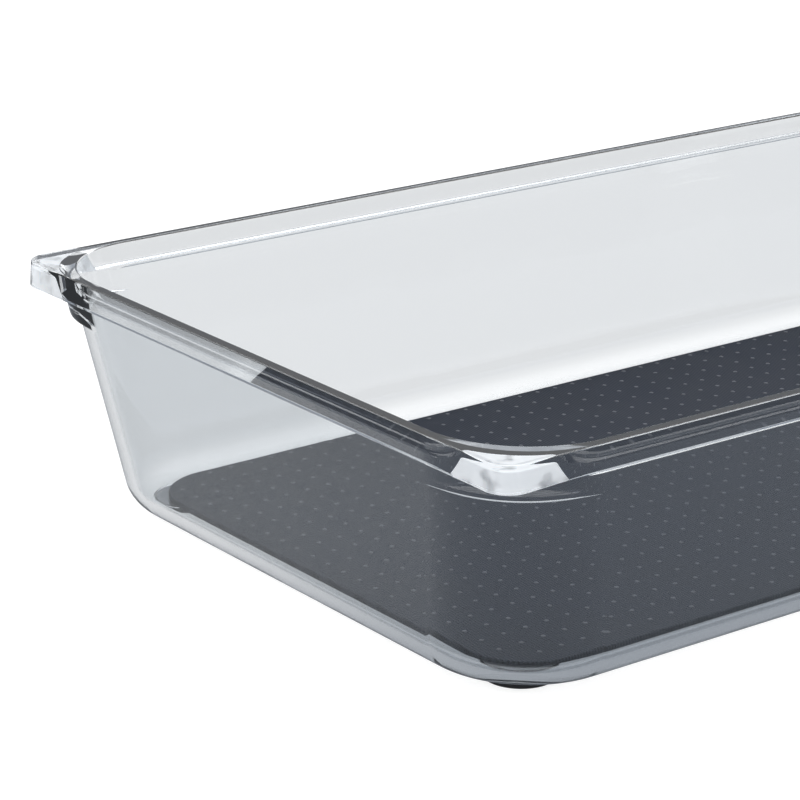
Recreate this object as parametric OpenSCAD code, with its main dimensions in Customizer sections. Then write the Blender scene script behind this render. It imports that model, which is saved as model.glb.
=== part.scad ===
// Drawer organizer insert: a clear moulded tray with a soft textured liner
// laid in its floor and four rubber feet under its corners.
// Millimetres, +Z up. The origin is on the surface the feet stand on, under
// the middle of the tray, with the long side along X.

/* [Tray] */
// Overall length, across the rim
tray_l = 304.8; // [152.4:0.1:457.2]
// Overall width, across the rim
tray_w = 152.4; // [101.6:0.1:304.8]
// Height of the moulding, from its underside to the top of its rim
body_h = 49.3; // [35:0.1:90]
// Thickness of the walls, measured level
wall_t = 2; // [1.2:0.1:3]
// Thickness of the floor
floor_t = 2; // [1.6:0.1:4]
// Draft of the walls, in degrees off upright
draft = 9.9; // [3:0.1:14]
// Radius of the walls' outside corners, seen from above
corner_r = 22.4; // [18:0.1:32]
// Radius of the outside curve from a wall into the underside
heel_r = 7.8; // [5:0.1:10]

/* [Rim] */
// Height of the rim's outer face
rim_h = 4.7; // [3:0.1:8]
// How far the rim stands out past the wall under it
rim_out = 1.45; // [0.8:0.05:4]
// Radius of the rim's corners, seen from above
rim_corner_r = 5; // [3:0.1:12]
// How far the rim's outer face leans out, from its top to its lower edge
rim_lean = 0.25; // [0:0.05:0.6]
// How much deeper the rim hangs at its corners than along its sides
rim_dip = 0.5; // [0:0.05:1.5]
// Distance from a corner over which the rim's lower edge rises back
dip_run = 18; // [12:0.5:30]
// Thickness of the skirt round the hollow under each rim corner
skirt_t = 2; // [1.5:0.05:3]
// Thickness of the plate over that hollow
shelf_t = 1.5; // [1:0.05:3]

/* [Stacking shoulders] */
// Height of the corner ledges above the underside
shoulder_z = 39.4; // [20:0.1:41]
// Corner radius of the shoulders, seen from above
shoulder_r = 17.3; // [12:0.1:17.5]
// How much a ledge's underside rises, from the wall out to its edge
shoulder_rise = 0.55; // [0.2:0.05:3]

/* [Liner] */
// Thickness of the liner mat
liner_t = 1.15; // [0.6:0.05:2.5]
// Width of bare floor between the liner and the curve up into the walls
liner_gap = 2.15; // [0.5:0.05:6]
// Thickness of the adhesive sheet that holds the liner down
liner_glue_t = 0.15; // [0.1:0.05:0.4]
// How far the adhesive sheet stops short of the liner's edge
glue_margin = 1.5; // [0.5:0.1:5]

/* [Feet] */
// Diameter of a foot
foot_d = 14; // [8:0.1:18]
// How far a foot stands out below the tray
foot_stand = 1.2; // [0.8:0.1:4]
// Distance from the rim's outer faces to the middle of a foot
foot_inset = 24.3; // [22:0.1:34]
// Depth of the round pocket that a foot sits in
pocket_depth = 0.6; // [0.3:0.1:1.2]
// Gap all round between a foot and its pocket
pocket_clearance = 0.25; // [0.1:0.05:0.5]
// Radius on the edge that a foot stands on
foot_edge_r = 0.5; // [0.2:0.1:0.8]
// Thickness of the adhesive disc behind a foot
foot_glue_t = 0.1; // [0.05:0.05:0.2]

/* [Hidden] */

// Heights above the surface that the feet stand on
base_z = foot_stand;
floor_z = base_z + floor_t;
top_z = base_z + body_h;
rim_z = top_z - rim_h;
ledge_z = base_z + shoulder_z;
pocket_z = base_z + pocket_depth;
liner_z = floor_z + liner_glue_t;

// The curve inside the tray follows the one outside, a wall's thickness in
inner_heel_r = heel_r - wall_t;
inner_corner_r = corner_r - wall_t;

// Slices and facets of the lofted shells
slice_h = 0.01;
heel_steps = 6;
corner_fn = 48;
round_fn = 96;
overcut = 1;

// Inset of a wall's outside face from the rim's outer face, at height z
function wall_inset(z) = rim_out + tan(draft) * (rim_z - z);
function inner_inset(z) = wall_inset(z) + wall_t;

// Inset of the axis of a heel curve that is tangent to a wall and to a floor at height z
function heel_axis(inset, z, r) = inset + r / cos(draft);
outer_heel_in = heel_axis(wall_inset(base_z + heel_r), base_z, heel_r);
inner_heel_in = heel_axis(inner_inset(floor_z + inner_heel_r), floor_z, inner_heel_r);

// Levels of a shell, each [inset, height, corner radius], from its floor up to its wall
function heel_levels(axis_in, z0, r, corner) = [
    for (i = [0:heel_steps])
        let (a = 90 - i * (90 - draft) / heel_steps,
             inset = axis_in - r * cos(a),
             z = z0 + r - r * sin(a))
        [inset, z, corner - r * (cos(draft) - cos(a))]
];

function liner_inset() = inner_heel_in + liner_gap;
liner_corner_r = inner_corner_r - inner_heel_r - liner_gap;

foot_x = tray_l / 2 - foot_inset;
foot_y = tray_w / 2 - foot_inset;

// Corner discs of a rounded rectangle, inset from the rim's outline, at height z
module corner_discs(inset, z, r) {
    for (sx = [-1, 1], sy = [-1, 1])
        translate([sx * (tray_l / 2 - inset - r), sy * (tray_w / 2 - inset - r), z])
            cylinder(r = r, h = slice_h, $fn = corner_fn);
}

// Flat rounded rectangle, inset from the rim's outline
module outline(inset, r) {
    l = tray_l - 2 * inset;
    w = tray_w - 2 * inset;
    square([l - 2 * r, w], center = true);
    square([l, w - 2 * r], center = true);
    for (sx = [-1, 1], sy = [-1, 1])
        translate([sx * (l / 2 - r), sy * (w / 2 - r)]) circle(r = r, $fn = round_fn);
}

module walls_outside() {
    hull() {
        for (l = heel_levels(outer_heel_in, base_z, heel_r, corner_r))
            corner_discs(l[0], l[1], l[2]);
        corner_discs(wall_inset(rim_z + slice_h), rim_z, corner_r);
    }
}

// The corners stand out between the ledge and the rim, so that the tray
// above rests there when two are stacked; they reach up into the rim's plate
module shoulders() {
    shoulder_top = top_z - shelf_t / 2;
    hull() {
        corner_discs(wall_inset(ledge_z), ledge_z, corner_r);
        corner_discs(wall_inset(ledge_z + shoulder_rise), ledge_z + shoulder_rise, shoulder_r);
        corner_discs(wall_inset(shoulder_top), shoulder_top, shoulder_r);
    }
}

// Trapezoid that lifts the rim's lower edge to its height along a side of the given length
module lift_profile(side) {
    full = side / 2 - rim_corner_r;
    level = side / 2 - dip_run;
    below = -rim_dip - overcut;
    polygon([[-full, below], [-full, -rim_dip], [-level, 0],
             [level, 0], [full, -rim_dip], [full, below]]);
}

module rim_lifts() {
    translate([0, tray_w / 2 + overcut, rim_z]) rotate([90, 0, 0])
        linear_extrude(tray_w + 2 * overcut) lift_profile(tray_l);
    translate([-tray_l / 2 - overcut, 0, rim_z]) rotate([90, 0, 90])
        linear_extrude(tray_l + 2 * overcut) lift_profile(tray_w);
}

// The rim is hollow from below inside its skirt; the shoulders fill all of
// that hollow except the four corners
module rim() {
    low_z = rim_z - rim_dip;
    difference() {
        hull() {
            corner_discs(0, low_z, rim_corner_r);
            corner_discs(rim_lean, top_z - slice_h, rim_corner_r - rim_lean);
        }
        translate([0, 0, low_z - overcut])
            linear_extrude(top_z - shelf_t - low_z + overcut)
                outline(skirt_t, rim_corner_r - skirt_t);
        rim_lifts();
    }
}

module cavity() {
    hull() {
        for (l = heel_levels(inner_heel_in, floor_z, inner_heel_r, inner_corner_r))
            corner_discs(l[0], l[1], l[2]);
        corner_discs(inner_inset(top_z + overcut), top_z + overcut, inner_corner_r);
    }
}

module at_foot(sx, sy) {
    translate([sx * foot_x, sy * foot_y, 0]) children();
}

module foot_pockets() {
    for (sx = [-1, 1], sy = [-1, 1])
        at_foot(sx, sy)
            translate([0, 0, base_z - overcut])
                cylinder(r = foot_d / 2 + pocket_clearance, h = pocket_depth + overcut, $fn = round_fn);
}

module tray() {
    color([0.90, 0.92, 0.94, 0.35])
        difference() {
            union() {
                walls_outside();
                shoulders();
                rim();
            }
            cavity();
            foot_pockets();
        }
}

module liner() {
    color([0.24, 0.26, 0.31])
        translate([0, 0, liner_z]) linear_extrude(liner_t) outline(liner_inset(), liner_corner_r);
}

module liner_adhesive() {
    color([0.85, 0.84, 0.80, 0.6])
        translate([0, 0, floor_z])
            linear_extrude(liner_glue_t)
                outline(liner_inset() + glue_margin, liner_corner_r - glue_margin);
}

// A low round bumper with a softened standing edge
module foot(sx, sy) {
    r = foot_d / 2;
    h = pocket_z - foot_glue_t;
    edge = [for (a = [0:15:90]) [r - foot_edge_r + foot_edge_r * sin(a), foot_edge_r - foot_edge_r * cos(a)]];
    color([0.08, 0.08, 0.08])
        at_foot(sx, sy)
            rotate_extrude($fn = round_fn) polygon(concat([[0, 0]], edge, [[r, h], [0, h]]));
}

module foot_adhesive(sx, sy) {
    color([0.85, 0.84, 0.80, 0.6])
        at_foot(sx, sy)
            translate([0, 0, pocket_z - foot_glue_t])
                cylinder(r = foot_d / 2 - foot_edge_r, h = foot_glue_t, $fn = round_fn);
}

tray();
liner();
liner_adhesive();
foot(-1, -1);  // foot_front_left
foot(1, -1);  // foot_front_right
foot(-1, 1);  // foot_back_left
foot(1, 1);  // foot_back_right
foot_adhesive(-1, -1);  // foot_adhesive_front_left
foot_adhesive(1, -1);  // foot_adhesive_front_right
foot_adhesive(-1, 1);  // foot_adhesive_back_left
foot_adhesive(1, 1);  // foot_adhesive_back_right
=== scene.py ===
# %% [markdown]
# # A clear drawer tray with a soft liner
# The object is a shallow tray for a drawer. It is one moulding in clear
# plastic, with walls that lean outwards, a squared rim and a shoulder under
# the rim at each corner. A dark textured mat covers the floor, and a black
# rubber foot sits under each corner. We load the engineering model first and
# take the places and outer sizes of its pieces from it. The finer sizes of
# the cross-section are written out again where each one is first needed.

# %% Load the model
import math

import bmesh
import bpy
from mathutils import Matrix, Vector


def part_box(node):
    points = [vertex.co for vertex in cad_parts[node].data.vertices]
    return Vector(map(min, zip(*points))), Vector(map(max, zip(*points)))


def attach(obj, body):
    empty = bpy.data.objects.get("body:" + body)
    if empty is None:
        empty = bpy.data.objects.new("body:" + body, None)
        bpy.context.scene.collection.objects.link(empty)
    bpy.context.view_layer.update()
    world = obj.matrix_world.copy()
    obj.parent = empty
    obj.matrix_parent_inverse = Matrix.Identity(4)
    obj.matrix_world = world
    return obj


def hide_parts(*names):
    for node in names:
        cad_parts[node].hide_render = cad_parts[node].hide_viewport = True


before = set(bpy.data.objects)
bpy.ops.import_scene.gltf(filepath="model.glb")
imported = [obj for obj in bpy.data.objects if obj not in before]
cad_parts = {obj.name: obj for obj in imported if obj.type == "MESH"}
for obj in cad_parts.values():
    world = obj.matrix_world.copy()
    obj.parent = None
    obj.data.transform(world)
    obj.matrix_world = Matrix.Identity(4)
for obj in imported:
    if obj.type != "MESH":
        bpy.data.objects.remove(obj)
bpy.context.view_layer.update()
MM = 0.001
TRAY_LOW, TRAY_HIGH = (Vector(c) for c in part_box("tray"))
LINER_LOW, LINER_HIGH = (Vector(c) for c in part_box("liner"))
print("the tray measures", [round(v / MM, 1) for v in TRAY_HIGH - TRAY_LOW], "mm")

# %% [markdown]
# ## The camera
# A long lens from a low angle keeps the tray's edges nearly parallel, which
# shows its proportions well. We aim it from the near corner of the rim: it
# sits a set distance back from that corner along the line of sight, and the
# corner lies a little to the right of the middle of the view and below it.

# %% Place the camera
LOOK_TURN = math.radians(52.89)
LOOK_DOWN = math.radians(18.7)
CAMERA_LEAN = math.radians(0.32)
CORNER_DISTANCE = 495.6 * MM
CORNER_RIGHT = 16.56 * MM
CORNER_BELOW = 11.29 * MM
LENS = 138.9

sight = Vector((math.cos(LOOK_DOWN) * math.cos(LOOK_TURN),
                math.cos(LOOK_DOWN) * math.sin(LOOK_TURN), -math.sin(LOOK_DOWN)))
level = Vector((math.sin(LOOK_TURN), -math.cos(LOOK_TURN), 0))
upright = level.cross(sight)
right = math.cos(CAMERA_LEAN) * level + math.sin(CAMERA_LEAN) * upright
up = right.cross(sight)
near_corner = Vector((TRAY_LOW.x, TRAY_LOW.y, TRAY_HIGH.z))
eye = near_corner - CORNER_RIGHT * right + CORNER_BELOW * up - CORNER_DISTANCE * sight

camera_data = bpy.data.cameras.new("camera")
camera_data.lens = LENS
camera_data.clip_start = 0.01
camera = bpy.data.objects.new("camera", camera_data)
axes = Matrix((right, up, -sight)).transposed().to_4x4()
camera.matrix_world = Matrix.Translation(eye) @ axes
bpy.context.scene.collection.objects.link(camera)
bpy.context.scene.camera = camera
bpy.context.scene.view_settings.view_transform = "Standard"
print("the camera stands", round(eye.z / MM), "mm above the floor")

# %% [markdown]
# ## Rings
# A moulded tray is the same cross-section carried round a rounded rectangle.
# So we describe each surface as a list of rings. Each ring says how far it is
# in from the rim's outer face, how high it is and how round its corners are.
# A few extra points near each corner leave room for the rim's lower edge to
# hang deeper there.

# %% Make one ring
HALF_LENGTH = (TRAY_HIGH.x - TRAY_LOW.x) / 2
HALF_WIDTH = (TRAY_HIGH.y - TRAY_LOW.y) / 2
CORNER_STEPS = 36


def ring_points(inset, z, radius, steps=CORNER_STEPS, run=()):
    """One closed ring; run lists distances from a corner for extra points on the straights."""
    points = []
    for quarter in range(4):
        sx, sy = ((1, 1), (-1, 1), (-1, -1), (1, -1))[quarter]
        x_first = quarter % 2 == 1
        for s in run[::-1]:
            x_in, y_in = (s, inset) if x_first else (inset, s)
            points.append((sx * (HALF_LENGTH - x_in), sy * (HALF_WIDTH - y_in), z))
        cx = sx * (HALF_LENGTH - inset - radius)
        cy = sy * (HALF_WIDTH - inset - radius)
        for step in range(steps + 1):
            turn = math.radians(90) * (quarter + step / steps)
            points.append((cx + radius * math.cos(turn), cy + radius * math.sin(turn), z))
        for s in run:
            x_in, y_in = (inset, s) if x_first else (s, inset)
            points.append((sx * (HALF_LENGTH - x_in), sy * (HALF_WIDTH - y_in), z))
    return points


print("each ring has", len(ring_points(0, 0, MM)), "points")

# %% [markdown]
# ## Lofts
# A loft skins neighbouring rings with quads. It keeps clean rows of faces,
# which clear plastic needs: light bends at every face, and a stray triangle
# would show. The first and last rings are capped, because the booleans later
# on need closed solids. Curves in the cross-section come from short arcs.

# %% Skin the rings
def finish_mesh(maker, name):
    bmesh.ops.recalc_face_normals(maker, faces=maker.faces)
    mesh = bpy.data.meshes.new(name)
    maker.to_mesh(mesh)
    maker.free()
    piece = bpy.data.objects.new(name, mesh)
    bpy.context.scene.collection.objects.link(piece)
    return piece


def loft(name, rings, steps=CORNER_STEPS, run=(), shift=None):
    """A closed solid skinned through the rings, capped at both ends."""
    maker = bmesh.new()
    rows = []
    for ring in rings:
        points = ring_points(*ring, steps=steps, run=run)
        if shift:
            points = [shift(p) for p in points]
        rows.append([maker.verts.new(p) for p in points])
    for lower, upper in zip(rows, rows[1:]):
        for i in range(len(lower)):
            j = (i + 1) % len(lower)
            maker.faces.new((lower[i], lower[j], upper[j], upper[i]))
    maker.faces.new(rows[0])
    maker.faces.new(rows[-1])
    return finish_mesh(maker, name)


def arc(cx, cz, radius, start, end, steps):
    """Points (inset, z) on a circle round (cx, cz); the angles are in degrees, 0 points inwards."""
    turns = [math.radians(start + (end - start) * i / steps) for i in range(steps + 1)]
    return [(cx + radius * math.cos(t), cz + radius * math.sin(t)) for t in turns]


print("an arc in four steps has", len(arc(0, 0, MM, 0, 90, 4)), "points")

# %% [markdown]
# ## The walls
# The walls lean out by the mould's draft, so that the tray can leave the
# mould. One small function says how far in the wall's outer face is at any
# height. Everything that meets the wall asks it, so nothing drifts apart when
# a size is changed.

# %% Lean the walls
WALL = 2.0 * MM
DRAFT = math.radians(9.9)
RIM_H = 4.7 * MM
RIM_OUT = 1.45 * MM
BASE_Z = TRAY_LOW.z
TOP_Z = TRAY_HIGH.z
RIM_Z = TOP_Z - RIM_H


def wall_inset(z):
    return RIM_OUT + math.tan(DRAFT) * (RIM_Z - z)


print("the base's walls stand", round(wall_inset(BASE_Z) / MM, 1), "mm in from the rim")

# %% [markdown]
# ## The heel
# The underside turns up into the wall in a broad curve, the heel. Plastic
# flows better round a curve, and a sharp corner there could crack. The inside
# curve has nearly the same centre and is smaller by the wall's thickness, so
# one function makes both.

# %% Curve the heel
CORNER_R = 22.4 * MM
HEEL_R = 7.8 * MM
HEEL_STEPS = 14


def heel(floor_z, radius, extra, corner_radius):
    """The curve from a level floor up into a drafted wall, as rings."""
    axis = wall_inset(floor_z + radius) + extra + radius / math.cos(DRAFT)
    rings = []
    for i in range(HEEL_STEPS + 1):
        turn = math.radians(90) + (DRAFT - math.radians(90)) * i / HEEL_STEPS
        inset = axis - radius * math.cos(turn)
        z = floor_z + radius - radius * math.sin(turn)
        rings.append((inset, z, corner_radius - radius * (math.cos(DRAFT) - math.cos(turn))))
    return rings


print("the heel turns through", round(90 - math.degrees(DRAFT), 1), "degrees")

# %% [markdown]
# ## The body and its shoulders
# Near the top each corner stands out as a ledge, where the next tray rests
# when they are stacked. The straight walls run past it, and only the corner's
# radius gets smaller there. The ledge's underside rises slowly at first and
# then turns up in small steps, which leaves the soft edge of a real mould.

# %% Skin the body
SHELF = 1.5 * MM
SHOULDER_Z = 39.4 * MM
SHOULDER_R = 17.3 * MM
SHOULDER_RISE = 0.55 * MM
LEDGE_Z = BASE_Z + SHOULDER_Z
LEDGE_CURVE = ((0, 0), (0.8, 0.6), (0.9, 0.8), (0.96, 1.1), (0.99, 1.5), (1, 2))


def shoulder_ring(share, rise):
    """A ring part of the way out (0 to 1) and up (metres) from the foot of the ledge."""
    z = LEDGE_Z + rise
    return wall_inset(z), z, CORNER_R + (SHOULDER_R - CORNER_R) * share


shoulder_top = TOP_Z - SHELF / 2
body_rings = heel(BASE_Z, HEEL_R, 0, CORNER_R)
body_rings += [shoulder_ring(share, SHOULDER_RISE * lift) for share, lift in LEDGE_CURVE]
body_rings += [shoulder_ring(1, shoulder_top - LEDGE_Z)]
body = loft("clear_tray", body_rings)
print("the body is skinned through", len(body_rings), "rings")

# %% [markdown]
# ## The fillet under the rim
# Where the rim stands out from the wall, the mould leaves a small fillet. It
# catches a thin line of light along the whole tray. A separate ring of
# plastic makes it, joined to the body later. In the corners it is buried in
# the shoulders.

# %% Fill the angle under the rim
RIM_DIP = 0.5 * MM
UNDER_RIM_R = 0.45 * MM
FILLET_STEPS = 6
fillet_z = RIM_Z - UNDER_RIM_R
under_rim = [(wall_inset(fillet_z) + WALL / 2, fillet_z, CORNER_R)]
under_rim += [(wall_inset(z) - i, z, CORNER_R) for i, z in
              arc(UNDER_RIM_R, fillet_z, -UNDER_RIM_R, 0, 90, FILLET_STEPS)]
under_rim += [(under_rim[-1][0], RIM_Z + RIM_DIP, CORNER_R)]
fillet = loft("fillet", under_rim)
print("the fillet's radius is", round(UNDER_RIM_R / MM, 2), "mm")

# %% [markdown]
# ## The rim
# The rim is a squared bar round the top. Its outer face leans out a touch on
# its way down, and its lower edge hangs a little deeper at the corners. A
# moulding has no knife edges, so its edges get small radii. The rim's corners
# are tighter than the walls' below, which gives the tray its square look.

# %% Skin the rim
RIM_CORNER_R = 5.0 * MM
RIM_LEAN = 0.25 * MM
RIM_EDGE_R = 0.3 * MM
RIM_STEPS = 14
EDGE_STEPS = 4
DIP_RUN = 18.0 * MM
DIP_STEPS = 6


def dipped(point):
    """The rim's lower edge hangs a little deeper near each corner."""
    x, y, z = point
    from_corner = max(HALF_LENGTH - abs(x), HALF_WIDTH - abs(y))
    share = (DIP_RUN - from_corner) / (DIP_RUN - RIM_CORNER_R)
    share = min(max(share, 0), 1)
    depth = min(max((TOP_Z - SHELF - z) / (RIM_H - SHELF), 0), 1)
    return x, y, z - RIM_DIP * share * depth


rim_section = arc(RIM_EDGE_R, RIM_Z + RIM_EDGE_R, RIM_EDGE_R, 270, 180, EDGE_STEPS)
rim_section += arc(RIM_LEAN + RIM_EDGE_R, TOP_Z - RIM_EDGE_R, RIM_EDGE_R, 180, 90, EDGE_STEPS)
rim_rings = [(i, z, RIM_CORNER_R - i) for i, z in rim_section]
dip_step = (DIP_RUN - RIM_CORNER_R) / DIP_STEPS
dip_points = [RIM_CORNER_R + dip_step * i for i in range(1, DIP_STEPS + 1)]
rim = loft("rim_block", rim_rings, steps=RIM_STEPS, run=dip_points, shift=dipped)
mouth = wall_inset(TOP_Z) + WALL
print("the rim is", round((mouth - RIM_LEAN) / MM, 2), "mm wide on top")

# %% [markdown]
# ## The hollow corners
# Thick plastic cools slowly and sinks, so a moulder hollows it out. Below
# each corner of the rim there is a pocket, open at the bottom, with a skirt
# outside it and a thin shelf over it. One square block under the rim makes
# all four, because the straight walls fill the rest of it.

# %% Skin the hollow
SKIRT = 2.0 * MM
hollow_z = TOP_Z - SHELF
hollow_r = RIM_CORNER_R - SKIRT
hollow_rings = [(SKIRT, RIM_Z - 2 * RIM_DIP - MM, hollow_r)]
hollow_rings += [(SKIRT + i, z, hollow_r - i) for i, z in
                 arc(RIM_EDGE_R, hollow_z - RIM_EDGE_R, RIM_EDGE_R, 180, 90, EDGE_STEPS)]
hollow = loft("rim_hollow", hollow_rings, steps=RIM_STEPS)
print("the skirt is", round(SKIRT / MM, 1), "mm thick")

# %% [markdown]
# ## The cavity
# The inside of the tray is one more loft, which is cut away. It follows the
# outside at the wall's thickness, and it opens out in a small radius at the
# mouth, where fingers reach in.

# %% Skin the cavity
FLOOR = 2.0 * MM
MOUTH_EDGE_R = 0.5 * MM
MOUTH_STEPS = 5
INNER_CORNER_R = CORNER_R - WALL
cavity_rings = heel(BASE_Z + FLOOR, HEEL_R - WALL, WALL, INNER_CORNER_R)
mouth_edge = arc(mouth - MOUTH_EDGE_R, TOP_Z - MOUTH_EDGE_R, MOUTH_EDGE_R, 0, 90, MOUTH_STEPS)
cavity_rings += [(i, z, INNER_CORNER_R + mouth - i) for i, z in mouth_edge]
top_inset, top_radius = cavity_rings[-1][0], cavity_rings[-1][2]
cavity_rings += [(top_inset, TOP_Z + MM, top_radius)]
cavity = loft("cavity", cavity_rings)
print("the floor is", round(FLOOR / MM, 1), "mm thick")

# %% [markdown]
# ## The foot pockets
# Each foot sits in a shallow round pocket, so that it can't be rubbed off
# sideways. The pockets take their size and place from the feet, with a small
# clearance all round.

# %% Make the foot pockets
FOOT_CLEARANCE = 0.25 * MM
FOOT_POCKET = 0.6 * MM
POCKET_SIDES = 96
pockets = []
for name in ("foot_front_left", "foot_front_right", "foot_back_left", "foot_back_right"):
    low, high = (Vector(c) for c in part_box(name))
    bpy.ops.mesh.primitive_cylinder_add(
        vertices=POCKET_SIDES, radius=(high.x - low.x) / 2 + FOOT_CLEARANCE, depth=2 * FOOT_POCKET,
        location=((low.x + high.x) / 2, (low.y + high.y) / 2, BASE_Z))
    pockets.append(bpy.context.object)
print("the shapes are ready, with", len(pockets), "foot pockets")

# %% [markdown]
# ## One moulding from the shapes
# Exact booleans join and cut the shapes, so that the tray is one closed
# skin with no faces left inside. That matters for a clear material: a hidden
# inner face would bend the light again. Edges that turn by more than about
# thirty degrees stay sharp, and the weighted normals keep the flat walls flat
# right up to their curves.

# %% Write the joining tools
CREASE = 32


def combine(target, tool, operation):
    step = target.modifiers.new("step", "BOOLEAN")
    step.operation = operation
    step.solver = "EXACT"
    step.material_mode = "TRANSFER"
    step.object = tool
    with bpy.context.temp_override(object=target, active_object=target):
        bpy.ops.object.modifier_apply(modifier="step")
    bpy.data.objects.remove(tool)


def smooth_but_crisp(piece):
    piece.data.shade_smooth()
    piece.data.set_sharp_from_angle(angle=math.radians(CREASE))
    weigh = piece.modifiers.new("weighted_normals", "WEIGHTED_NORMAL")
    weigh.weight = 100
    weigh.keep_sharp = True


print("edges that turn by more than", CREASE, "degrees stay sharp")

# %% [markdown]
# The hollow is taken out of the rim before the rim meets the body, so that
# the shoulders stay whole inside it. The hollow's faces bring their own
# material along, which is how only they become frosted.

# %% Join and cut
plastic = bpy.data.materials.new("moulded_clear")
frosted = bpy.data.materials.new("moulded_frosted")
for piece in (body, rim, fillet, cavity, *pockets):
    piece.data.materials.append(plastic)
hollow.data.materials.append(frosted)
combine(rim, hollow, "DIFFERENCE")
combine(body, fillet, "UNION")
combine(body, rim, "UNION")
combine(body, cavity, "DIFFERENCE")
for pocket in pockets:
    combine(body, pocket, "DIFFERENCE")
tray = body
smooth_but_crisp(tray)
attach(tray, "root")
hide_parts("tray")
print("the tray's mesh has", len(tray.data.polygons), "faces")

# %% [markdown]
# ## Small tools for materials
# Every finish here is a Principled shader fed by a few procedural nodes.
# These helpers fetch a material, add a node with its settings, stretch a
# noise to the range we want, and turn a height into a bump.

# %% Write the material tools
def new_material(name):
    material = bpy.data.materials.get(name) or bpy.data.materials.new(name)
    material.use_nodes = True
    tree = material.node_tree
    return material, tree, tree.nodes["Principled BSDF"]


def node(tree, kind, **settings):
    """Add a shader node and set its attributes, or its inputs by name."""
    added = tree.nodes.new(kind)
    for key, value in settings.items():
        if hasattr(added, key):
            setattr(added, key, value)
        else:
            added.inputs[key.replace("_", " ").title()].default_value = value
    return added


def spread(tree, value, low, high):
    """Turn a 0 to 1 value into one between low and high."""
    remap = tree.nodes.new("ShaderNodeMapRange")
    remap.inputs["To Min"].default_value = low
    remap.inputs["To Max"].default_value = high
    tree.links.new(value, remap.inputs["Value"])
    return remap.outputs["Result"]


def bump(tree, surface, height, distance, strength=1.0, under=None):
    """Raise the surface by up to the distance, where height is 1."""
    relief = tree.nodes.new("ShaderNodeBump")
    relief.inputs["Distance"].default_value = distance
    relief.inputs["Strength"].default_value = strength
    tree.links.new(height, relief.inputs["Height"])
    if under:
        tree.links.new(under, relief.inputs["Normal"])
    tree.links.new(relief.outputs["Normal"], surface.inputs["Normal"])
    return relief.outputs["Normal"]


print("the material tools are ready")

# %% [markdown]
# ## Clear plastic
# The tray is a clear styrene plastic. It bends light more than window glass,
# and its polished mould leaves it almost perfectly smooth. A Principled
# shader with full transmission does this. A little cool grey in its colour
# stands for the light that real walls lose. Real mouldings are never quite
# flat, so a broad, very shallow noise bends the surface by a few hundredths
# of a millimetre, and a finer one makes the polish a touch uneven.

# %% Make the clear plastic
STYRENE_IOR = 1.57
plastic, tree, surface = new_material("moulded_clear")
surface.inputs["Base Color"].default_value = (0.80, 0.825, 0.845, 1)
surface.inputs["Transmission Weight"].default_value = 1
surface.inputs["IOR"].default_value = STYRENE_IOR
place = node(tree, "ShaderNodeTexCoord")
polish = node(tree, "ShaderNodeTexNoise", scale=90, detail=3)
tree.links.new(place.outputs["Object"], polish.inputs["Vector"])
tree.links.new(spread(tree, polish.outputs["Fac"], 0.0, 0.035), surface.inputs["Roughness"])
flow = node(tree, "ShaderNodeTexNoise", scale=55, detail=1)
tree.links.new(place.outputs["Object"], flow.inputs["Vector"])
bump(tree, surface, flow.outputs["Fac"], 0.03 * MM)
print("the clear plastic's index of refraction is", STYRENE_IOR)

# %% [markdown]
# ## Frosted plastic
# The hollow under each rim corner is too narrow for the mould to be polished,
# so its faces come out frosted. They scatter the light that is caught in the
# thick corner, and path tracing hardly finds that light. So a faint painted
# glow, an emission on the plastic, stands in for it. One noise stands for the
# wear of the mould. Where it is high, the faces turn clearer and the painted
# glow fades out.

# %% Make the frosted plastic
GLOW = 0.42
frosted, tree, surface = new_material("moulded_frosted")
surface.inputs["Base Color"].default_value = (0.93, 0.94, 0.95, 1)
surface.inputs["IOR"].default_value = STYRENE_IOR
place = node(tree, "ShaderNodeTexCoord")
sparks = node(tree, "ShaderNodeTexNoise", scale=500, detail=3)
tree.links.new(place.outputs["Object"], sparks.inputs["Vector"])
tree.links.new(spread(tree, sparks.outputs["Fac"], 0.3, 0.7), surface.inputs["Roughness"])
# this noise marks the clearer, worn faces and also fades the painted glow
wear_and_glow_mask = node(tree, "ShaderNodeTexNoise", scale=260, detail=2)
tree.links.new(place.outputs["Object"], wear_and_glow_mask.inputs["Vector"])
thin = tree.nodes.new("ShaderNodeMapRange")
thin.inputs["From Min"].default_value = 0.5
thin.inputs["From Max"].default_value = 0.75
thin.inputs["To Min"].default_value = 0.1
tree.links.new(wear_and_glow_mask.outputs["Fac"], thin.inputs["Value"])
tree.links.new(thin.outputs["Result"], surface.inputs["Transmission Weight"])
# painted glow: an emission that stands in for light scattered in the thick corner
glow = tree.nodes.new("ShaderNodeMapRange")
glow.inputs["From Min"].default_value = 0.5
glow.inputs["From Max"].default_value = 0.7
glow.inputs["To Min"].default_value = GLOW
glow.inputs["To Max"].default_value = 0.0
tree.links.new(wear_and_glow_mask.outputs["Fac"], glow.inputs["Value"])
tree.links.new(glow.outputs["Result"], surface.inputs["Emission Strength"])
surface.inputs["Emission Color"].default_value = (0.95, 0.97, 1.0, 1)
bump(tree, surface, sparks.outputs["Fac"], 0.02 * MM)
frosted_faces = sum(face.material_index == 1 for face in tray.data.polygons)
print("materials on the tray", [m.name for m in tray.data.materials])
print(frosted_faces, "faces are frosted")

# %% [markdown]
# ## The liner
# The mat in the tray is a thin sheet of soft vinyl, cut with round corners
# and stuck down flat. Its edge is slightly rounded by the cut. Its face is
# embossed like woven cloth, and a square grid of small raised dots stops
# things from sliding. We build the sheet with the same loft as the tray.

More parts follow.
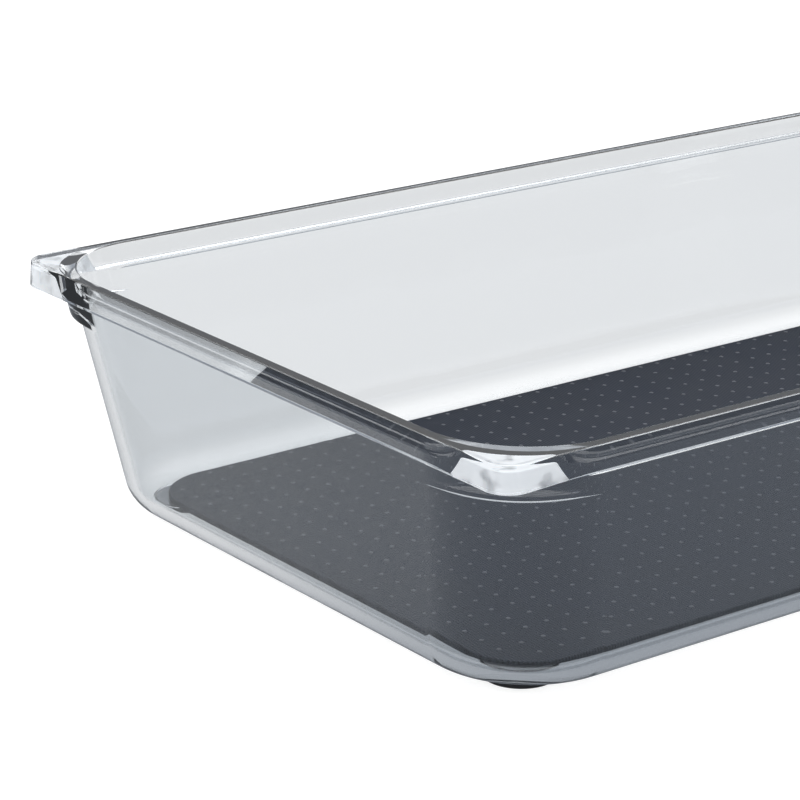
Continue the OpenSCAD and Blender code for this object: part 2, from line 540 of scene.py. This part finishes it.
# %% Build the liner
LINER_CORNER_R = 12.4 * MM
LINER_EDGE_R = 0.35 * MM
liner_inset = HALF_LENGTH - LINER_HIGH.x
liner_rings = [(liner_inset, LINER_LOW.z, LINER_CORNER_R)]
liner_rings += [(liner_inset + i, z, LINER_CORNER_R - i) for i, z in
                arc(LINER_EDGE_R, LINER_HIGH.z - LINER_EDGE_R, LINER_EDGE_R, 180, 90, EDGE_STEPS)]
liner = loft("liner_sheet", liner_rings)
smooth_but_crisp(liner)
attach(liner, "root")
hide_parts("liner")
print("the liner is", round((LINER_HIGH.z - LINER_LOW.z) / MM, 2), "mm thick")

# %% [markdown]
# ## The weave
# The threads run almost along and across the mat, a few degrees off, as cloth
# does when it is cut. Two wave textures make them, one for each direction,
# and one of the two is stronger. The bands of a wave texture repeat every
# tau / 20, which we scale to the pitch of the threads. The weave drives both
# the colour and a bump of a twentieth of a millimetre. A broad noise mottles
# the vinyl, and a low specular level keeps it matt.

# %% Weave and colour the liner
THREAD_PITCH = 0.66 * MM
THREAD_TURNS = (5, 95)
WAVE_PERIOD = math.tau / 20
vinyl, tree, surface = new_material("liner_vinyl")
place = node(tree, "ShaderNodeTexCoord")
threads = []
for turn in THREAD_TURNS:
    aim = node(tree, "ShaderNodeMapping")
    aim.inputs["Rotation"].default_value[2] = math.radians(turn)
    tree.links.new(place.outputs["Object"], aim.inputs["Vector"])
    bands = node(tree, "ShaderNodeTexWave", wave_type="BANDS", bands_direction="X",
                 scale=WAVE_PERIOD / THREAD_PITCH, distortion=0.6)
    tree.links.new(aim.outputs["Vector"], bands.inputs["Vector"])
    threads.append(bands.outputs["Fac"])
weave = node(tree, "ShaderNodeMix", data_type="FLOAT")
weave.inputs["Factor"].default_value = 0.3
tree.links.new(threads[0], weave.inputs["A"])
tree.links.new(threads[1], weave.inputs["B"])
mottle = node(tree, "ShaderNodeTexNoise", scale=60, detail=4)
tree.links.new(place.outputs["Object"], mottle.inputs["Vector"])
tint = node(tree, "ShaderNodeMix", data_type="RGBA")
tint.inputs["A"].default_value = (0.004, 0.006, 0.011, 1)
tint.inputs["B"].default_value = (0.033, 0.039, 0.053, 1)
tree.links.new(weave.outputs["Result"], tint.inputs["Factor"])
fade = node(tree, "ShaderNodeHueSaturation")
tree.links.new(tint.outputs["Result"], fade.inputs["Color"])
tree.links.new(spread(tree, mottle.outputs["Fac"], 0.8, 1.2), fade.inputs["Value"])
tree.links.new(fade.outputs["Color"], surface.inputs["Base Color"])
tree.links.new(spread(tree, mottle.outputs["Fac"], 0.5, 0.68), surface.inputs["Roughness"])
surface.inputs["Specular IOR Level"].default_value = 0.12
bump(tree, surface, weave.outputs["Result"], 0.05 * MM)
liner.data.materials.append(vinyl)
print("threads every", round(THREAD_PITCH / MM, 2), "mm")

# %% [markdown]
# ## One dot
# The dots are low domes. They are real geometry, because their tiny tops
# catch the light at a low angle, where a bump would look flat. Three small
# rings make one dot, and the lowest is let into the mat, so that no gap
# shows.

# %% Shape one dot
DOT_R = 0.5 * MM
DOT_H = 0.1 * MM
DOT_SIDES = 12
DOT_PROFILE = ((1, -0.25), (0.85, 0.6), (0.45, 1))


def dot_ring(maker, x, y, radius, z):
    turns = [math.tau * i / DOT_SIDES for i in range(DOT_SIDES)]
    return [maker.verts.new((x + radius * math.cos(t), y + radius * math.sin(t), z)) for t in turns]


def add_dot(maker, x, y):
    """A low dome; the profile lists shares of its radius and of its height."""
    rows = [dot_ring(maker, x, y, DOT_R * wide, LINER_HIGH.z + DOT_H * high)
            for wide, high in DOT_PROFILE]
    for lower, upper in zip(rows, rows[1:]):
        for i in range(DOT_SIDES):
            j = (i + 1) % DOT_SIDES
            maker.faces.new((lower[i], lower[j], upper[j], upper[i]))
    maker.faces.new(rows[-1])
    maker.faces.new(rows[0][::-1])


print("a dot is", round(2 * DOT_R / MM, 2), "mm across and", round(DOT_H / MM, 2), "mm high")

# %% [markdown]
# ## The grid of dots
# The dots stand in a square grid over the whole mat. We lay out more than we
# need and keep those that are a small margin in from the mat's edge. The dots
# are attached to the same body as the mat, which lies on its adhesive.

# %% Emboss the dots
DOT_PITCH = 5.0 * MM
DOT_SHIFT = 1.5 * MM
DOT_MARGIN = 1.5 * MM


def on_liner(x, y):
    """Whether a dot here lies inside the mat, a margin in from its edge."""
    half_l = LINER_HIGH.x - DOT_MARGIN
    half_w = LINER_HIGH.y - DOT_MARGIN
    corner = LINER_CORNER_R - DOT_MARGIN
    dx = max(abs(x) - (half_l - corner), 0)
    dy = max(abs(y) - (half_w - corner), 0)
    return math.hypot(dx, dy) < corner


dots_maker = bmesh.new()
rows_out = math.ceil(LINER_HIGH.x / DOT_PITCH) + 1
reach = range(-rows_out, rows_out + 1)
spots = [(i * DOT_PITCH, j * DOT_PITCH + DOT_SHIFT) for i in reach for j in reach]
spots = [spot for spot in spots if on_liner(*spot)]
for spot in spots:
    add_dot(dots_maker, *spot)
dots = finish_mesh(dots_maker, "liner_dots")
dots.data.shade_smooth()
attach(dots, "root")

# %% [markdown]
# The dots are rubbed a little paler than the mat, unevenly. A noise mixes two
# tints from dot to dot.

# %% Colour the dots
dot_vinyl, tree, surface = new_material("liner_dot_vinyl")
place = node(tree, "ShaderNodeTexCoord")
patchy = node(tree, "ShaderNodeTexNoise", scale=140, detail=2)
tree.links.new(place.outputs["Object"], patchy.inputs["Vector"])
tint = node(tree, "ShaderNodeMix", data_type="RGBA")
tint.inputs["A"].default_value = (0.018, 0.022, 0.032, 1)
tint.inputs["B"].default_value = (0.050, 0.058, 0.075, 1)
tree.links.new(patchy.outputs["Fac"], tint.inputs["Factor"])
tree.links.new(tint.outputs["Result"], surface.inputs["Base Color"])
surface.inputs["Roughness"].default_value = 0.4
dots.data.materials.append(dot_vinyl)
print("the dots are paler than the cloth between them")

# %% [markdown]
# ## Feet and adhesive
# The feet are black rubber pads, stuck into shallow pockets. Their solids
# come from the engineering model, and only need a finish. Rubber is nearly
# black, and its fine grain makes it dull.

# %% Mix the rubber
RUBBER_DULL = (0.45, 0.7)
rubber, tree, surface = new_material("rubber_pad")
place = node(tree, "ShaderNodeTexCoord")
grain = node(tree, "ShaderNodeTexNoise", scale=2500, detail=3)
tree.links.new(place.outputs["Object"], grain.inputs["Vector"])
tint = node(tree, "ShaderNodeMix", data_type="RGBA")
tint.inputs["A"].default_value = (0.006, 0.006, 0.007, 1)
tint.inputs["B"].default_value = (0.014, 0.014, 0.015, 1)
tree.links.new(grain.outputs["Fac"], tint.inputs["Factor"])
tree.links.new(tint.outputs["Result"], surface.inputs["Base Color"])
tree.links.new(spread(tree, grain.outputs["Fac"], *RUBBER_DULL), surface.inputs["Roughness"])
bump(tree, surface, grain.outputs["Fac"], 0.02 * MM)
print("the rubber's roughness runs from", RUBBER_DULL[0], "to", RUBBER_DULL[1])

# %% [markdown]
# The adhesive is a thin milky film under the mat and behind each foot. It is
# never quite even, so a noise mixes two cool greys.

# %% Mix the adhesive
FILM_DULL = (0.3, 0.5)
film, tree, surface = new_material("adhesive_film")
place = node(tree, "ShaderNodeTexCoord")
cloudy = node(tree, "ShaderNodeTexNoise", scale=400, detail=4)
tree.links.new(place.outputs["Object"], cloudy.inputs["Vector"])
tint = node(tree, "ShaderNodeMix", data_type="RGBA")
tint.inputs["A"].default_value = (0.30, 0.31, 0.33, 1)
tint.inputs["B"].default_value = (0.42, 0.43, 0.45, 1)
tree.links.new(cloudy.outputs["Fac"], tint.inputs["Factor"])
tree.links.new(tint.outputs["Result"], surface.inputs["Base Color"])
tree.links.new(spread(tree, cloudy.outputs["Fac"], *FILM_DULL), surface.inputs["Roughness"])
bump(tree, surface, cloudy.outputs["Fac"], 0.01 * MM)
print("the adhesive's roughness runs from", FILM_DULL[0], "to", FILM_DULL[1])

# %% [markdown]
# Each solid that is kept from the engineering model gets its finish by its
# name. Their meshes stay as they are.

# %% Give out both finishes
finished = []
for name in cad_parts:
    if "adhesive" in name:
        finish = film
    elif name.startswith("foot"):
        finish = rubber
    else:
        continue
    piece = bpy.data.objects[name]
    piece.data.materials.clear()
    piece.data.materials.append(finish)
    finished.append(name)
print(len(finished), "solids have their finish")

# %% [markdown]
# ## The white table
# Clear plastic shows only what is round it. If everything were white the
# tray would vanish, so product studios put darker cards round clear things
# to draw their edges. We use three table tops, all within a millimetre, and
# two of them carry painted shade and a painted reflection in place of cards.
# The camera sees this first one, which is plain white. Reflections and the
# light that bends through the plastic pass it by. It lies a hair below the
# feet, because two faces in one place would flicker.

# %% Set the white table top
TABLE_HALF = 3.0
FEET_GAP = 0.05 * MM


def table_top(name, z):
    mesh = bpy.data.meshes.new(name)
    h = TABLE_HALF
    mesh.from_pydata([(-h, -h, z), (h, -h, z), (h, h, z), (-h, h, z)], [], [(0, 1, 2, 3)])
    top = bpy.data.objects.new(name, mesh)
    bpy.context.scene.collection.objects.link(top)
    return top


white_top = table_top("table_white", -FEET_GAP)
white_top.visible_glossy = False
white_top.visible_transmission = False
paper, tree, surface = new_material("table_paper")
surface.inputs["Base Color"].default_value = (0.25, 0.25, 0.25, 1)
surface.inputs["Roughness"].default_value = 0.9
surface.inputs["Specular IOR Level"].default_value = 0
surface.inputs["Emission Color"].default_value = (1, 1, 1, 1)
surface.inputs["Emission Strength"].default_value = 0.85
white_top.data.materials.append(paper)
print("the table reaches", TABLE_HALF, "m each way")

# %% [markdown]
# ## The table behind the plastic
# What bends through the plastic sees this glowing table top. It is white behind
# the tray, so the back wall stays bright, and it fades to a painted blue-grey
# shade in front, which draws the heel of the tray.

# %% Shade the studio table from front to back
studio_top = table_top("table_studio", -MM)
studio_top.visible_camera = False
studio_top.visible_diffuse = False
studio_top.visible_glossy = False
studio_top.visible_shadow = False
painted_shade_table, tree, surface = new_material("table_painted_shade")
surface.inputs["Base Color"].default_value = (0.02, 0.02, 0.02, 1)
surface.inputs["Roughness"].default_value = 0.3
place = node(tree, "ShaderNodeTexCoord")
split = node(tree, "ShaderNodeSeparateXYZ")
tree.links.new(place.outputs["Object"], split.inputs["Vector"])
ramp = tree.nodes.new("ShaderNodeMapRange")
ramp.interpolation_type = "SMOOTHSTEP"
ramp.inputs["From Min"].default_value = -0.09
ramp.inputs["From Max"].default_value = 0.07
tree.links.new(split.outputs["Y"], ramp.inputs["Value"])
# painted shade: the table's glow runs from blue-grey in front of the tray to white behind
shade = node(tree, "ShaderNodeMix", data_type="RGBA")
shade.inputs["A"].default_value = (0.33, 0.355, 0.39, 1)
shade.inputs["B"].default_value = (0.95, 0.94, 0.93, 1)
tree.links.new(ramp.outputs["Result"], shade.inputs["Factor"])
tree.links.new(shade.outputs["Result"], surface.inputs["Emission Color"])
surface.inputs["Emission Strength"].default_value = 1.0
studio_top.data.materials.append(painted_shade_table)
print("the studio table is", [round(v, 2) for v in shade.inputs["A"].default_value[:3]], "in front")

# %% [markdown]
# ## The table in reflections
# Reflections see a dim slate table top that the camera never sees, a painted
# reflection in place of the white table, like the dark cards that a studio
# stands round clear things. It keeps the outer faces deep and clean.

# %% Set the dark table top for reflections
dark_top = table_top("table_dark", -MM)
dark_top.visible_camera = False
dark_top.visible_diffuse = False
dark_top.visible_transmission = False
dark_top.visible_shadow = False
slate, tree, surface = new_material("table_painted_reflection")
surface.inputs["Base Color"].default_value = (0.02, 0.02, 0.02, 1)
surface.inputs["Roughness"].default_value = 0.3
# painted reflection: a dim glow that only reflections see, in place of the white table
surface.inputs["Emission Color"].default_value = (0.17, 0.19, 0.22, 1)
surface.inputs["Emission Strength"].default_value = 1.0
dark_top.data.materials.append(slate)
print("reflections see a dark slate table")

# %% [markdown]
# ## The room
# No lamps are used, because a lamp's light hardly reaches what lies behind
# clear plastic. The room itself gives the light. It is dim and bluish near the
# horizon, white above, and brightest overhead, like one big soft lamp.

# %% Light the studio
world = bpy.data.worlds.new("studio")
bpy.context.scene.world = world
world.use_nodes = True
tree = world.node_tree
backdrop = tree.nodes["Background"]
place = node(tree, "ShaderNodeTexCoord")
split = node(tree, "ShaderNodeSeparateXYZ")
tree.links.new(place.outputs["Generated"], split.inputs["Vector"])
rise = tree.nodes.new("ShaderNodeMapRange")
rise.interpolation_type = "SMOOTHSTEP"
rise.inputs["From Min"].default_value = 0.12
rise.inputs["From Max"].default_value = 0.55
tree.links.new(split.outputs["Z"], rise.inputs["Value"])
walls = node(tree, "ShaderNodeMix", data_type="RGBA")
walls.inputs["A"].default_value = (0.28, 0.31, 0.36, 1)
walls.inputs["B"].default_value = (1, 1, 1, 1)
tree.links.new(rise.outputs["Result"], walls.inputs["Factor"])
tree.links.new(walls.outputs["Result"], backdrop.inputs["Color"])

overhead = tree.nodes.new("ShaderNodeMapRange")
overhead.interpolation_type = "SMOOTHSTEP"
overhead.inputs["From Min"].default_value = 0.45
overhead.inputs["From Max"].default_value = 0.85
overhead.inputs["To Min"].default_value = 1.0
overhead.inputs["To Max"].default_value = 2.3
tree.links.new(split.outputs["Z"], overhead.inputs["Value"])
tree.links.new(overhead.outputs["Result"], backdrop.inputs["Strength"])
print("the room is dark low down and brightest overhead")
